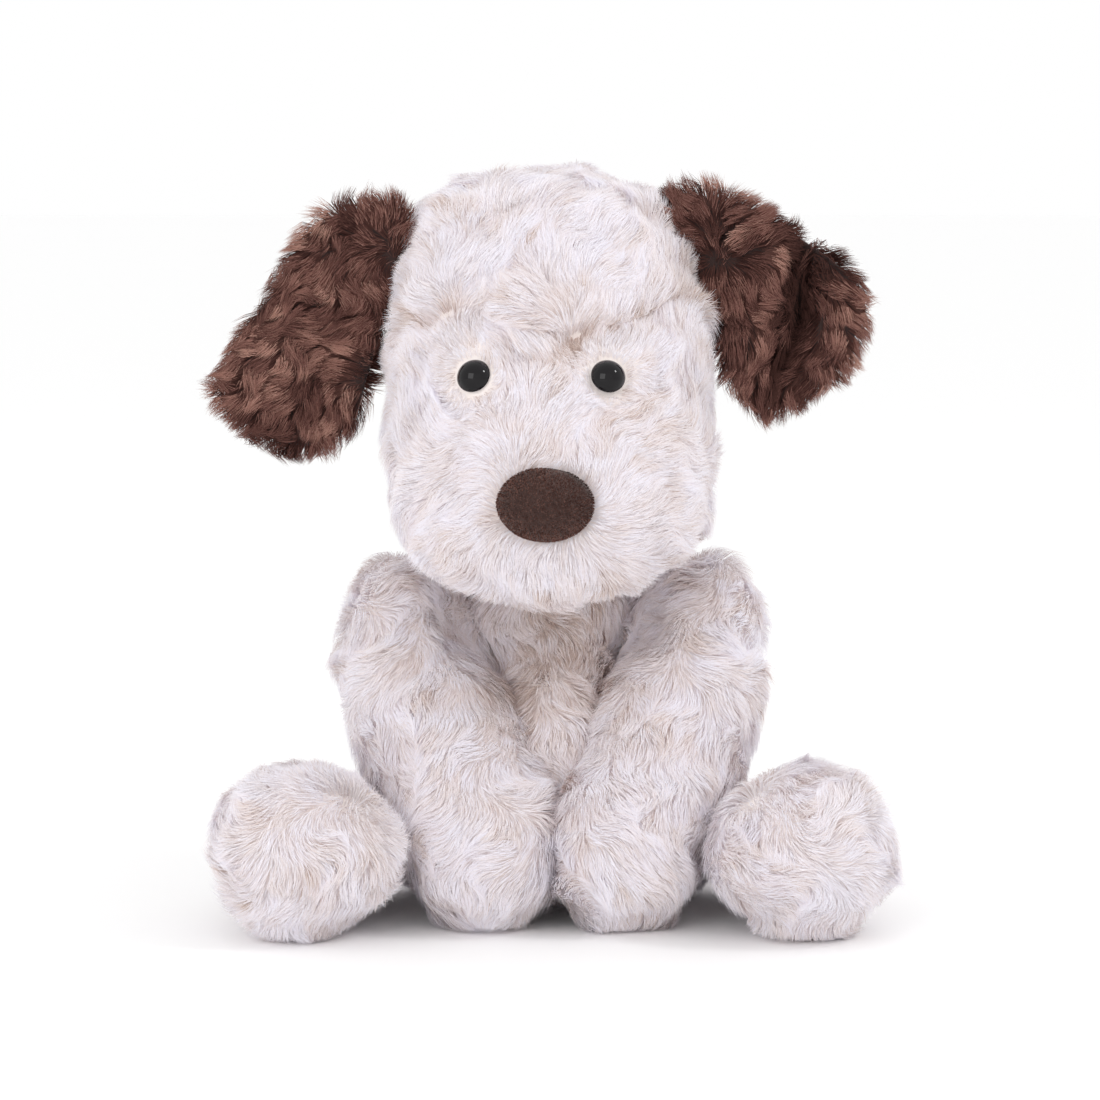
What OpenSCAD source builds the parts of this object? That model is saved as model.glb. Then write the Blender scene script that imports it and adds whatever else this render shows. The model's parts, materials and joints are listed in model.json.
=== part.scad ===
// Seated plush dog. Sewn panels over fibre stuffing, with a head that turns and nods,
// ears, legs and a tail that swing at their seams, plastic safety eyes and a nose patch.
// Origin: middle of the object's box, on the surface it sits on. Front is -Y, up is +Z.

/* [Fabric] */
// Thickness of the pile fabric, backing and flattened pile together
fabric_t = 2.4; // [1.6:0.2:3]
// Slack between a panel and the stuffing behind it
slack = 0.2; // [0.1:0.1:0.5]
// Gap kept between pieces that move against each other
joint_gap = 0.5; // [0.3:0.1:1]

/* [Body] */
// Height of the top of the torso
torso_h = 122; // [119:1:123]
// Widest width of the torso, at the hips
hip_w = 112; // [104:1:116]
// Radius of the round base panel
seat_r = 38; // [32:1:42]

/* [Head] */
// Radius of the stuffing ball in the neck
neck_r = 12; // [10:0.5:13]
// Diameter of each eye's dome
eye_d = 12; // [9:0.5:14]
// Distance between the centres of the eyes
eye_gap = 46; // [42:1:50]
// Width of the nose patch
nose_w = 34; // [28:1:38]
// Height of the nose patch
nose_h = 25; // [20:1:30]

/* [Ears] */
// Length of the left ear, which hangs open, from its seam to its tip
left_ear_l = 94; // [84:1:96]
// Length of the right ear, which is folded over on itself
right_ear_l = 78; // [68:1:80]
// Widest width of each ear
ear_w = 60; // [52:1:62]
// Thickness of each ear, front panel and back panel together
ear_t = 17; // [12:1:18]

/* [Legs] */
// Radius of a foreleg at its shoulder
shoulder_r = 24.5; // [22:0.5:25]
// Radius of a forepaw
paw_r = 26; // [24:0.5:26.5]
// Radius of a hind leg at the hip
hip_r = 22; // [20:0.5:22.5]
// Radius of a hind foot
foot_r = 31; // [28:0.5:32]

/* [Tail] */
// Length of the tail between the centres of its round ends
tail_l = 26; // [15:1:30]
// Radius of the tail at its root
tail_r = 11.5; // [9:0.5:12]

/* [Hidden] */
// Columns of points around the torso and head, a leg, and the tail
cols = 28;
leg_cols = 14;
tail_cols = 16;
// Rings of points in each round end of a leg or the tail
cap_rings = 4;
cream = [0.95, 0.92, 0.89];
brown = [0.36, 0.24, 0.21];
fill = [0.98, 0.98, 0.98];

// ---------------------------------------------------------------- helpers

function lerp(a, b, f) = a + (b - a) * f;
function unit(v) = v / norm(v);
function sum_list(list, k = 0) = k == len(list) - 1 ? list[k] : list[k] + sum_list(list, k + 1);
// A point with its X side changed: side is -1 for left and 1 for right
function sided(p, side) = [p.x * side, p.y, p.z];

// Smooth curve through a list of stations, t from 0 to 1
function blend4(a, b, c, d, f) =
    0.5 * (2 * b + (c - a) * f + (2 * a - 5 * b + 4 * c - d) * f * f + (3 * b - a - 3 * c + d) * f * f * f);
function station(list, t) =
    let (n = len(list) - 1, i = min(floor(t * n), n - 1))
    blend4(list[max(i - 1, 0)], list[i], list[i + 1], list[min(i + 2, n)], t * n - i);

// A superellipse's share of its half-width: 2 is an ellipse, more is squarer
function lobe(v, squareness) = sign(v) * pow(abs(v), 2 / squareness);

// Faces of a grid of points that starts at index first
function grid_faces(rows, n, first, flip) = [
    for (r = [0:rows - 2], c = [0:n - 2])
        let (p = first + r * n + c)
        flip ? [p, p + 1, p + n + 1, p + n] : [p, p + n, p + n + 1, p + 1]
];

// Faces that join the edges of an outer grid to those of the inner grid behind it.
// Where the grid goes all the way round, its first and last columns meet and need none.
function rim_faces(rows, n, round_trip) =
    let (m = rows * n, last = (rows - 1) * n, sides = round_trip ? [] : [0:rows - 2])
    concat(
        [for (c = [0:n - 2]) [c, c + 1, m + c + 1, m + c]],
        [for (c = [0:n - 2]) [last + c + 1, last + c, m + last + c, m + last + c + 1]],
        [for (r = sides) let (b = r * n) [b + n, b, m + b, m + b + n]],
        [for (r = sides) let (b = r * n + n - 1) [b, b + n, m + b + n, m + b]]
    );

// A sewn panel: the solid between an outer and an inner grid of points
module panel(outer, inner, round_trip = false) {
    rows = len(outer);
    n = len(outer[0]);
    polyhedron(
        points = [for (r = outer, p = r) p, for (r = inner, p = r) p],
        faces = concat(
            grid_faces(rows, n, 0, false),
            grid_faces(rows, n, rows * n, true),
            rim_faces(rows, n, round_trip)
        ),
        convexity = 6
    );
}

// A closed pod: rings of points that start and end in flat rings
module pod(rings) {
    n = len(rings[0]);
    last = (len(rings) - 1) * n;
    polyhedron(
        points = [for (r = rings, p = r) p],
        faces = concat(
            grid_faces(len(rings), n, 0, false),
            [for (r = [0:len(rings) - 2]) let (b = r * n) [b + n - 1, b + 2 * n - 1, b + n, b]],
            [[for (c = [0:n - 1]) c]],
            [[for (c = [n - 1:-1:0]) last + c]]
        ),
        convexity = 4
    );
}

// Angles from a to b in n even steps
function angles(a, b, n) = [for (k = [0:n]) lerp(a, b, k / n)];
// Angles of one panel's columns, where a whole turn has n of them
function panel_turn(from, to, n) = angles(from, to, round(n * (to - from) / 360));
// Columns of the pod inside the panels that meet at these cuts. It lines up with them all, so
// that the two nest without touching. The last cut is the first one again.
function pod_turn(cuts, n) = [
    for (k = [0:len(cuts) - 2])
        let (turn = panel_turn(cuts[k], cuts[k + 1], n))
        for (i = [0:len(turn) - 2]) turn[i]
];

// ---------------------------------------------------------------- torso and head
// Both are stacks of level superellipses. A station is
// [height, middle of the depth, half-width, half-depth]. Angle 0 is the front, 90 the right.

torso_stations = [
    [2, 14, 34, 34],
    [6, 22, hip_w / 2 - 5, 38],
    [26, 26, hip_w / 2, 42],
    [50, 27, hip_w / 2 - 6, 40],
    [73, 25, 39, 35],
    [93, 20, 30, 33],
    [111, 13, 27, 30],
    [torso_h - 3, 9, 22, 25],
    [torso_h, 8, 13, 14]
];

head_stations = [
    [115, -60, 2, 2],
    [118, -59, 27, 15],
    [130, -54, 49, 29],
    [143, -46, 58, 40],
    [157, -33, 61, 53],
    [176, -23, 62, 60],
    [200, -15, 61, 58],
    [224, -8, 56, 52],
    [246, -3, 47, 43],
    [260, 1, 35, 31],
    [267, 3, 2, 2]
];
head_squareness = 2.35;
torso_squareness = 2.15;

// Rings of one of these stacks, pulled in all round by inset
function stack(list, squareness, inset, turn, rows) =
    let (low = list[0][0], high = list[len(list) - 1][0], mid = (low + high) / 2)
    [
        for (k = [0:rows])
            let (
                s = station(list, k / rows),
                z = mid + (s[0] - mid) * (1 - 2 * inset / (high - low)),
                a = max(s[2] - inset, 1.5),
                b = max(s[3] - inset, 1.5)
            )
            [for (w = turn) [a * lobe(sin(w), squareness), s[1] - b * lobe(cos(w), squareness), z]]
    ];

// The station of a stack at a height z, found by halving
function station_at(list, z, low = 0, high = 1, tries = 18) =
    let (mid = (low + high) / 2)
    tries == 0 ? station(list, mid)
    : station(list, mid)[0] < z ? station_at(list, z, mid, high, tries - 1)
    : station_at(list, z, low, mid, tries - 1);
// Depth of the face's surface at a height z and a distance x from the middle
function face_y(x, z) =
    let (s = station_at(head_stations, z))
    s[1] - s[3] * pow(max(1 - pow(abs(x) / s[2], head_squareness), 0), 1 / head_squareness);

torso_rows = 13;
head_rows = 16;

torso_turn = pod_turn([-70, 70, 180, 290], cols);
head_turn = pod_turn([-56.25, 56.25, 123.75, 236.25, 303.75], cols);

module torso_panel(from, to) {
    turn = panel_turn(from, to, cols);
    panel(
        stack(torso_stations, torso_squareness, 0, turn, torso_rows),
        stack(torso_stations, torso_squareness, fabric_t, turn, torso_rows)
    );
}

module head_panel(from, to) {
    turn = panel_turn(from, to, cols);
    panel(
        stack(head_stations, head_squareness, 0, turn, head_rows),
        stack(head_stations, head_squareness, fabric_t, turn, head_rows)
    );
}

module seat_panel() {
    color(cream) translate([0, 14, 0]) cylinder(r = seat_r, h = 1.8, $fn = 64);
}

module torso_front_panel() { color(cream) torso_panel(-70, 70); }
module torso_left_panel() { color(cream) torso_panel(180, 290); }
module torso_right_panel() { color(cream) torso_panel(70, 180); }

// A bag of plastic pellets lies in the bottom of the torso, so that the dog stays seated
pellet_h = 30;
pellet_inset = 9;
module seat_pellet_bag() {
    color("wheat") intersection() {
        pod(stack(torso_stations, torso_squareness, pellet_inset, torso_turn, torso_rows));
        translate([-80, -60, 0]) cube([160, 180, pellet_h]);
    }
}

module torso_stuffing() {
    color(fill) difference() {
        pod(stack(torso_stations, torso_squareness, fabric_t + slack, torso_turn, torso_rows));
        translate([-80, -60, -1]) cube([160, 180, pellet_h + 1 + slack]);
    }
}

// Ladder stitches that close the back seam, where the two back panels meet
stitch_l = 5;
stitch_d = 0.8;
module closing_stitches() {
    color(cream) for (z = [50:6:98]) {
        s = station_at(torso_stations, z);
        translate([-stitch_l / 2, s[1] + s[3] + stitch_d / 2 + 0.3, z]) rotate([0, 90, 0])
            cylinder(d = stitch_d, h = stitch_l, $fn = 16);
    }
}

// ---------------------------------------------------------------- neck

neck_at = [0, 8, torso_h + joint_gap + neck_r];
module neck_stuffing() {
    color(fill) translate(neck_at) sphere(r = neck_r, $fn = 48);
}

// ---------------------------------------------------------------- head

module face_panel() {
    color(cream) difference() {
        head_panel(-56.25, 56.25);
        for (side = [-1, 1]) eye_axis(side) cylinder(d = shank_d + 0.4, h = 30, center = true, $fn = 24);
    }
}
module head_left_panel() { color(cream) head_panel(236.25, 303.75); }
module head_right_panel() { color(cream) head_panel(56.25, 123.75); }
module head_back_panel() { color(cream) head_panel(123.75, 236.25); }
module head_stuffing() {
    color(fill) pod(stack(head_stations, head_squareness, fabric_t + slack, head_turn, head_rows));
}

// Safety eyes: a dome in front of the face, and a shank that a washer grips behind the fabric
eye_z = 196;
eye_shift = -4.5;
shank_d = 3.6;
shank_l = 11;
washer_d = 13;
washer_t = 1.2;
module eye_axis(side) {
    x = side * eye_gap / 2 + eye_shift;
    lean = atan((face_y(x + 3, eye_z) - face_y(x - 3, eye_z)) / 6);
    pitch = atan((face_y(x, eye_z + 3) - face_y(x, eye_z - 3)) / 6);
    translate([x, face_y(x, eye_z), eye_z]) rotate([90 - pitch, 0, lean]) children();
}
module eye(side) {
    color([0.05, 0.04, 0.04]) eye_axis(side) {
        translate([0, 0, 0.4]) intersection() {
            translate([0, 0, -eye_d * 0.18]) sphere(d = eye_d * 1.06, $fn = 48);
            cylinder(d = eye_d * 1.1, h = eye_d, $fn = 48);
        }
        translate([0, 0, -shank_l]) cylinder(d = shank_d, h = shank_l + 1, $fn = 32);
    }
}
module eye_washer(side) {
    color("whitesmoke") eye_axis(side) translate([0, 0, -fabric_t - 1 - washer_t]) difference() {
        cylinder(d = washer_d, h = washer_t, $fn = 48);
        translate([0, 0, -1]) cylinder(d = shank_d, h = washer_t + 2, $fn = 32);
    }
}
module eye_left() { eye(-1); }
module eye_right() { eye(1); }
module eye_washer_left() { eye_washer(-1); }
module eye_washer_right() { eye_washer(1); }

// Nose: a domed velour patch over a small pad, on the front of the muzzle
nose_at = [-3, 153];
nose_dome = 6;
nose_skin = 1;
function nose_sheet(scale_by, lift, dome, rows = 7, n = 24) = [
    for (k = [0:rows])
        let (f = k / rows * scale_by)
        [
            for (w = angles(0, 360, n))
                let (x = nose_at[0] + f * nose_w / 2 * sin(w), z = nose_at[1] + f * nose_h / 2 * cos(w))
                [x, face_y(x, z) - lift - dome * sqrt(max(1 - pow(k / rows, 2.6), 0)), z]
        ]
];
module nose_patch() {
    color(brown) panel(nose_sheet(1, 1.2, nose_dome), nose_sheet(0.97, 0.3, nose_dome - nose_skin), true);
}
module nose_padding() {
    color(fill) panel(nose_sheet(0.9, 0.6, nose_dome - nose_skin - 0.6), nose_sheet(0.9, 0.3, 0), true);
}

// ---------------------------------------------------------------- sausages
// Legs and tail: a round-ended pod from a to b. bow bends its middle away by a vector, and
// widen makes its middle wider than deep, square to hint.
// A row is [share of the way, distance beyond the end, radius].
function sausage_rows(length, ra, rb, inset, rows) = concat(
    [for (k = [0:cap_rings - 1]) let (w = 90 * k / cap_rings)
        [0, -(ra - inset) * cos(w), max((ra - inset) * sin(w), k == 0 ? 0.6 : 0)]],
    [for (k = [0:rows]) [k / rows, 0, lerp(ra, rb, k / rows) - inset]],
    [for (k = [cap_rings - 1:-1:0]) let (w = 90 * k / cap_rings)
        [1, (rb - inset) * cos(w), max((rb - inset) * sin(w), k == 0 ? 0.6 : 0)]]
);
function sausage(a, b, ra, rb, bow, inset, turn, rows, hint, widen = 0) =
    let (
        along = unit(b - a),
        side = unit(cross(along, hint)),
        up = cross(along, side)
    )
    [
        for (r = sausage_rows(norm(b - a), ra, rb, inset, rows))
            let (
                bump = 4 * r[0] * (1 - r[0]),
                c = lerp(a, b, r[0]) + along * r[1] + bow * bump
            )
            [
                for (w = turn)
                    let (p = c + r[2] * (side * cos(w) * (1 + widen * bump) + up * sin(w)))
                    [p.x, p.y, max(p.z, inset)]
            ]
    ];
function pick(rows, from, to) = [for (k = [from:to]) rows[k]];

// ---------------------------------------------------------------- forelegs

shoulder_at = [56, -2, 103];
forepaw_at = [27.5, -51, 25];
foreleg_bow = [0.5, -2, 2];
foreleg_widen = 0.24;
foreleg_rows = 6;
leg_turn = pod_turn([-90, 90, 270], leg_cols);
function foreleg(side, inset, turn) = sausage(
    sided(shoulder_at, side), sided(forepaw_at, side), shoulder_r, paw_r,
    sided(foreleg_bow, side), inset, turn, foreleg_rows, [0, -1, 0], foreleg_widen
);
module foreleg_panel(side, from, to) {
    turn = panel_turn(from, to, leg_cols);
    color(cream) panel(foreleg(side, 0, turn), foreleg(side, fabric_t, turn));
}
module foreleg_stuffing(side) {
    color(fill) pod(foreleg(side, fabric_t + slack, leg_turn));
}
module foreleg_left_outer_panel() { foreleg_panel(-1, -90, 90); }
module foreleg_left_inner_panel() { foreleg_panel(-1, 90, 270); }
module foreleg_left_stuffing() { foreleg_stuffing(-1); }
module foreleg_right_outer_panel() { foreleg_panel(1, 90, 270); }
module foreleg_right_inner_panel() { foreleg_panel(1, -90, 90); }
module foreleg_right_stuffing() { foreleg_stuffing(1); }

// ---------------------------------------------------------------- hind legs

hip_at = [90, -8, 22];
foot_at = [89.5, -66.5, 30.5];
hindleg_rows = 4;
sole_ring = 3;
function hindleg(side, inset, turn) = sausage(
    sided(hip_at, side), sided(foot_at, side), hip_r, foot_r, [0, 0, 0], inset, turn, hindleg_rows,
    [0, 0, 1]
);
module hindleg_panel(side, from, to) {
    turn = panel_turn(from, to, leg_cols);
    last = 2 * cap_rings + hindleg_rows - sole_ring;
    color(cream) panel(
        pick(hindleg(side, 0, turn), 0, last), pick(hindleg(side, fabric_t, turn), 0, last)
    );
}
module hindleg_sole(side) {
    turn = panel_turn(-90, 270, leg_cols);
    last = 2 * cap_rings + hindleg_rows;
    color(cream) panel(
        pick(hindleg(side, 0, turn), last - sole_ring, last),
        pick(hindleg(side, fabric_t, turn), last - sole_ring, last),
        round_trip = true
    );
}
module hindleg_stuffing(side) {
    color(fill) pod(hindleg(side, fabric_t + slack, leg_turn));
}
module hindleg_left_outer_panel() { hindleg_panel(-1, -90, 90); }
module hindleg_left_inner_panel() { hindleg_panel(-1, 90, 270); }
module hindleg_left_sole() { hindleg_sole(-1); }
module hindleg_left_stuffing() { hindleg_stuffing(-1); }
module hindleg_right_outer_panel() { hindleg_panel(1, 90, 270); }
module hindleg_right_inner_panel() { hindleg_panel(1, -90, 90); }
module hindleg_right_sole() { hindleg_sole(1); }
module hindleg_right_stuffing() { hindleg_stuffing(1); }

// ---------------------------------------------------------------- ears
// An ear is a flat leaf that leaves a slanting seam beside the crown and curls down in an arc.
// Station: [middle across, half-width, half-thickness], in shares of the ear's own sizes.

ear_stations = [
    [0, 0.33, 0.2],
    [0, 0.42, 0.72],
    [0, 0.46, 0.98],
    [0.01, 0.5, 1],
    [0.02, 0.49, 1],
    [0.02, 0.43, 0.92],
    [0.02, 0.33, 0.7],
    [0.02, 0.06, 0.2]
];
ear_root = [57.5, -17, 234];
// Angles below level: leaving the seam, and at the tip
ear_lean = -12;
function ear_tip_lean(side) = side < 0 ? 66 : 46;
function ear_length(side) = side < 0 ? left_ear_l : right_ear_l;
ear_rows = 9;
// The ear bends most near its seam
function lean_at(side, share) = lerp(ear_lean, ear_tip_lean(side), 1 - pow(1 - share, 4));
function ear_spine(side, share, steps = 24) =
    ear_root + ear_length(side) * share / steps * sum_list([
        for (k = [0:steps - 1])
            let (lean = lean_at(side, share * (k + 0.5) / steps)) [cos(lean), 0, -sin(lean)]
    ]);
function ear(side, inset, turn) = [
    for (k = [0:ear_rows])
        let (
            s = station(ear_stations, k / ear_rows),
            share = (inset + k / ear_rows * (ear_length(side) - 2 * inset)) / ear_length(side),
            lean = lean_at(side, share),
            spine = ear_spine(side, share),
            across = [sin(lean), 0, cos(lean)],
            half_w = max(s[1] * ear_w - inset, 0.8),
            half_t = max(s[2] * ear_t / 2 - inset, 0.4)
        )
        [
            for (w = turn)
                sided(
                    spine + across * (s[0] * ear_w + half_w * cos(w)) - [0, half_t * lobe(sin(w), 2.2), 0],
                    side
                )
        ]
];
module ear_panel(side, from, to) {
    turn = side < 0 ? angles(to, from, 10) : angles(from, to, 10);
    color(brown) panel(ear(side, 0, turn), ear(side, fabric_t, turn));
}
module ear_left_front_panel() { ear_panel(-1, 0, 180); }
module ear_left_back_panel() { ear_panel(-1, 180, 360); }
module ear_right_front_panel() { ear_panel(1, 0, 180); }
module ear_right_back_panel() { ear_panel(1, 180, 360); }

// ---------------------------------------------------------------- tail

tail_at = [0, 80.4, 38];
tail_dir = [0, 0.4, 0.92];
function tail(inset, turn) = sausage(
    tail_at, tail_at + unit(tail_dir) * tail_l, tail_r, tail_r - 2, [0, 0, 0], inset, turn, 3,
    [1, 0, 0]
);
module tail_panel(from, to) {
    turn = panel_turn(from, to, tail_cols);
    color(cream) panel(tail(0, turn), tail(fabric_t, turn));
}
module tail_upper_panel() { tail_panel(0, 180); }
module tail_lower_panel() { tail_panel(180, 360); }
module tail_stuffing() { color(fill) pod(tail(fabric_t + slack, pod_turn([0, 180, 360], tail_cols))); }

// ---------------------------------------------------------------- the nodes

seat_panel();
torso_front_panel();
torso_left_panel();
torso_right_panel();
torso_stuffing();
seat_pellet_bag();
closing_stitches();
neck_stuffing();
face_panel();
head_left_panel();
head_right_panel();
head_back_panel();
head_stuffing();
eye_left();
eye_right();
eye_washer_left();
eye_washer_right();
nose_patch();
nose_padding();
ear_left_front_panel();
ear_left_back_panel();
ear_right_front_panel();
ear_right_back_panel();
foreleg_left_outer_panel();
foreleg_left_inner_panel();
foreleg_left_stuffing();
foreleg_right_outer_panel();
foreleg_right_inner_panel();
foreleg_right_stuffing();
hindleg_left_outer_panel();
hindleg_left_inner_panel();
hindleg_left_sole();
hindleg_left_stuffing();
hindleg_right_outer_panel();
hindleg_right_inner_panel();
hindleg_right_sole();
hindleg_right_stuffing();
tail_upper_panel();
tail_lower_panel();
tail_stuffing();
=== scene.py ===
"""Seated plush dog: stuffed skins under long combed pile, brown ears, plastic eyes, velour nose."""

import json
import math

import bpy
import numpy as np
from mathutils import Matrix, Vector, bvhtree, kdtree


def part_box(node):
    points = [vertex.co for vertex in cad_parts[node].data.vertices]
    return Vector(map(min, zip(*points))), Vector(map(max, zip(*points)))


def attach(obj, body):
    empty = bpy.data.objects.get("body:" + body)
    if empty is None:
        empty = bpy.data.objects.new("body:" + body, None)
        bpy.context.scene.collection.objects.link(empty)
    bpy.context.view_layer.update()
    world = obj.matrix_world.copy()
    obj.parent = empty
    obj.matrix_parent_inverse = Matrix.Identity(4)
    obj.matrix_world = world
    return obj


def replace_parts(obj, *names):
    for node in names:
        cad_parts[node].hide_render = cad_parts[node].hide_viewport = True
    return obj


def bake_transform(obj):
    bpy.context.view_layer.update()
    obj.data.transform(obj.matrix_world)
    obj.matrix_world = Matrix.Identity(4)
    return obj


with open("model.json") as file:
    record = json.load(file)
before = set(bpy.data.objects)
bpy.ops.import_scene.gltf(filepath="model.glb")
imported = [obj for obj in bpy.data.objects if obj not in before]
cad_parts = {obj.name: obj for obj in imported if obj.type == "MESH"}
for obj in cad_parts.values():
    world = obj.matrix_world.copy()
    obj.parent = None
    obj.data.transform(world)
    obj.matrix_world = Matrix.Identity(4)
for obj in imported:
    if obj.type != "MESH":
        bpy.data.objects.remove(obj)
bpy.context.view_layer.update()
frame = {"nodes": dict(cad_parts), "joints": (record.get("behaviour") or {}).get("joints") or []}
MM = 0.001
FLOOR_CLEARANCE = 0.4 * MM


# ---------------------------------------------------------------- small maths

WAVE_COUNT = 14


def unit(v):
    """Rows of v at length one."""
    return v / np.maximum(np.linalg.norm(v, axis=-1, keepdims=True), 1e-12)


def smoothstep(v, low, high):
    """0 below low, 1 above high, and a smooth step between."""
    t = np.clip((v - low) / (high - low), 0, 1)
    return t * t * (3 - 2 * t)


def waves(points, length, seed):
    """Smooth noise of about -1 to 1 at each point: plane waves in random directions."""
    rng = np.random.default_rng(seed)
    ways = unit(rng.normal(size=(WAVE_COUNT, 3))) * (2 * math.pi / length)
    ways *= rng.uniform(0.6, 1.4, size=(WAVE_COUNT, 1))
    phases = rng.uniform(0, 2 * math.pi, WAVE_COUNT)
    return np.sin(points @ ways.T + phases).sum(1) / math.sqrt(WAVE_COUNT) * 0.9


def turned(v, about, angle):
    """Rows of v turned about the unit rows of about, to which they are square."""
    return v * np.cos(angle)[:, None] + np.cross(about, v) * np.sin(angle)[:, None]


def flat_on(v, normal):
    """The unit part of v that lies along the surface with that normal."""
    return unit(v - (v * normal).sum(-1, keepdims=True) * normal)


# ---------------------------------------------------------------- meshes


def points_of(mesh):
    co = np.empty(len(mesh.vertices) * 3, np.float32)
    mesh.vertices.foreach_get("co", co)
    return co.reshape(-1, 3).astype(float)


def normals_of(mesh):
    out = np.empty(len(mesh.vertices) * 3, np.float32)
    mesh.vertex_normals.foreach_get("vector", out)
    return out.reshape(-1, 3).astype(float)


def put_points(mesh, points):
    mesh.vertices.foreach_set("co", points.astype(np.float32).ravel())
    mesh.update()


def add_object(name, mesh):
    obj = bpy.data.objects.new(name, mesh)
    bpy.context.scene.collection.objects.link(obj)
    return obj


def apply_modifiers(obj):
    """Swaps the object's mesh for the one its modifiers make."""
    evaluated = obj.evaluated_get(bpy.context.evaluated_depsgraph_get())
    made = bpy.data.meshes.new_from_object(evaluated)
    obj.modifiers.clear()
    obj.data = made


def shade_smooth(obj):
    obj.data.polygons.foreach_set("use_smooth", [True] * len(obj.data.polygons))


def joined_meshes(name, meshes):
    """One new object with the shapes of several meshes."""
    points, faces, start = [], [], 0
    for mesh in meshes:
        points.append(points_of(mesh))
        faces += [[start + i for i in p.vertices] for p in mesh.polygons]
        start += len(mesh.vertices)
    made = bpy.data.meshes.new(name)
    made.from_pydata(np.concatenate(points).tolist(), [], faces)
    return add_object(name, made)


def keep_outside(obj):
    """Drops every closed surface but the largest: remeshing nested pieces leaves their cavities."""
    mesh = obj.data
    label = np.arange(len(mesh.vertices))
    ends = np.empty(len(mesh.edges) * 2, np.int32)
    mesh.edges.foreach_get("vertices", ends)
    a, b = ends.reshape(-1, 2).T
    while True:
        low = np.minimum(label[a], label[b])
        before = label.copy()
        np.minimum.at(label, a, low)
        np.minimum.at(label, b, low)
        label = label[label]
        if (label == before).all():
            break
    names, sizes = np.unique(label, return_counts=True)
    kept = label == names[sizes.argmax()]
    place = np.cumsum(kept) - 1
    faces = [[place[i] for i in p.vertices] for p in mesh.polygons if kept[p.vertices[0]]]
    made = bpy.data.meshes.new(mesh.name)
    made.from_pydata(points_of(mesh)[kept].tolist(), [], faces)
    obj.data = made


def relax(obj, times):
    """Evens out the mesh."""
    smooth = obj.modifiers.new("relax", "SMOOTH")
    smooth.iterations = times
    smooth.factor = 0.5
    apply_modifiers(obj)


def inflate(obj, cap, pressure=8, frames=20):
    """Blows the skin up as cloth, and holds every point within cap of its start."""
    start = points_of(obj.data)
    cloth = obj.modifiers.new("cloth", "CLOTH")
    cloth.settings.use_pressure = True
    cloth.settings.uniform_pressure_force = pressure
    cloth.settings.effector_weights.gravity = 0
    cloth.point_cache.frame_start = 1
    cloth.point_cache.frame_end = frames
    for step in range(1, frames + 1):
        bpy.context.scene.frame_set(step)
    apply_modifiers(obj)
    bpy.context.scene.frame_set(1)
    move = points_of(obj.data) - start
    size = np.linalg.norm(move, axis=1, keepdims=True)
    put_points(obj.data, start + move * np.minimum(1, cap / np.maximum(size, 1e-9)))


def reach(points, centre, solid, fade, move):
    """Draws the points round centre along move: whole inside solid, and none beyond fade."""
    far = np.linalg.norm(points - centre, axis=1)
    return points + np.outer(1 - smoothstep(far, solid, fade), move)


def ring_mesh(name, rings):
    """A closed skin over rings of points, with a fan at each end."""
    rows, n = rings.shape[:2]
    points = np.concatenate([rings.reshape(-1, 3), rings[:1].mean(1), rings[-1:].mean(1)])
    faces = []
    for r in range(rows - 1):
        for c in range(n):
            d = (c + 1) % n
            faces.append((r * n + c, r * n + d, (r + 1) * n + d, (r + 1) * n + c))
    last = (rows - 1) * n
    for c in range(n):
        d = (c + 1) % n
        faces.append((rows * n, d, c))
        faces.append((rows * n + 1, last + c, last + d))
    made = bpy.data.meshes.new(name)
    made.from_pydata(points.tolist(), [], faces)
    return add_object(name, made)


def along_stations(stations, count):
    """Smooth rows between the stations, by Catmull and Rom's rule."""
    table = np.array(stations, float)
    t = np.linspace(0, len(table) - 1, count)
    i = np.minimum(t.astype(int), len(table) - 2)
    f = (t - i)[:, None]
    a, b, c, d = (table[np.clip(i + k, 0, len(table) - 1)] for k in (-1, 0, 1, 2))
    cubic = 3 * b - a - 3 * c + d
    return (2 * b + (c - a) * f + (2 * a - 5 * b + 4 * c - d) * f**2 + cubic * f**3) / 2


VOXEL = 4.5 * MM
SWELL = 2.2 * MM
# The skin flattens below this height, and its lowest point stays this far off the floor
FLATTENED_BELOW = 12 * MM
SKIN_CLEARANCE = 1.2 * MM


def make_skin(name, nodes, inset, voxel=VOXEL, swell=SWELL, shape=None):
    """A stuffed skin in the place of CAD solids: remeshed, drawn in, blown up as cloth, sculpted,
    and pressed flat where it rests on the floor."""
    obj = joined_meshes(name, [frame["nodes"][n].data for n in nodes])
    remesh = obj.modifiers.new("remesh", "REMESH")
    remesh.mode = "VOXEL"
    remesh.voxel_size = voxel
    apply_modifiers(obj)
    keep_outside(obj)
    relax(obj, 4)
    put_points(obj.data, points_of(obj.data) - normals_of(obj.data) * (inset + swell * 0.6))
    relax(obj, 2)
    inflate(obj, swell)
    relax(obj, 2)
    obj.modifiers.new("subdivide", "SUBSURF").levels = 1
    apply_modifiers(obj)
    points = points_of(obj.data)
    points += normals_of(obj.data) * (waves(points, 34 * MM, 5) * 0.8 * MM)[:, None]
    if shape:
        points = shape(points, normals_of(obj.data))
    pressed = np.clip(points[:, 2] / FLATTENED_BELOW, 0, 1) ** 0.7
    points[:, 2] = np.maximum(points[:, 2] * pressed, SKIN_CLEARANCE)
    put_points(obj.data, points)
    shade_smooth(obj)
    return obj


# ---------------------------------------------------------------- materials


def principled(name, colour, roughness, sheen=0.0):
    material = bpy.data.materials.new(name)
    material.use_nodes = True
    shader = material.node_tree.nodes["Principled BSDF"]
    shader.inputs["Base Color"].default_value = (*colour, 1)
    shader.inputs["Roughness"].default_value = roughness
    shader.inputs["Sheen Weight"].default_value = sheen
    return material


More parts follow.
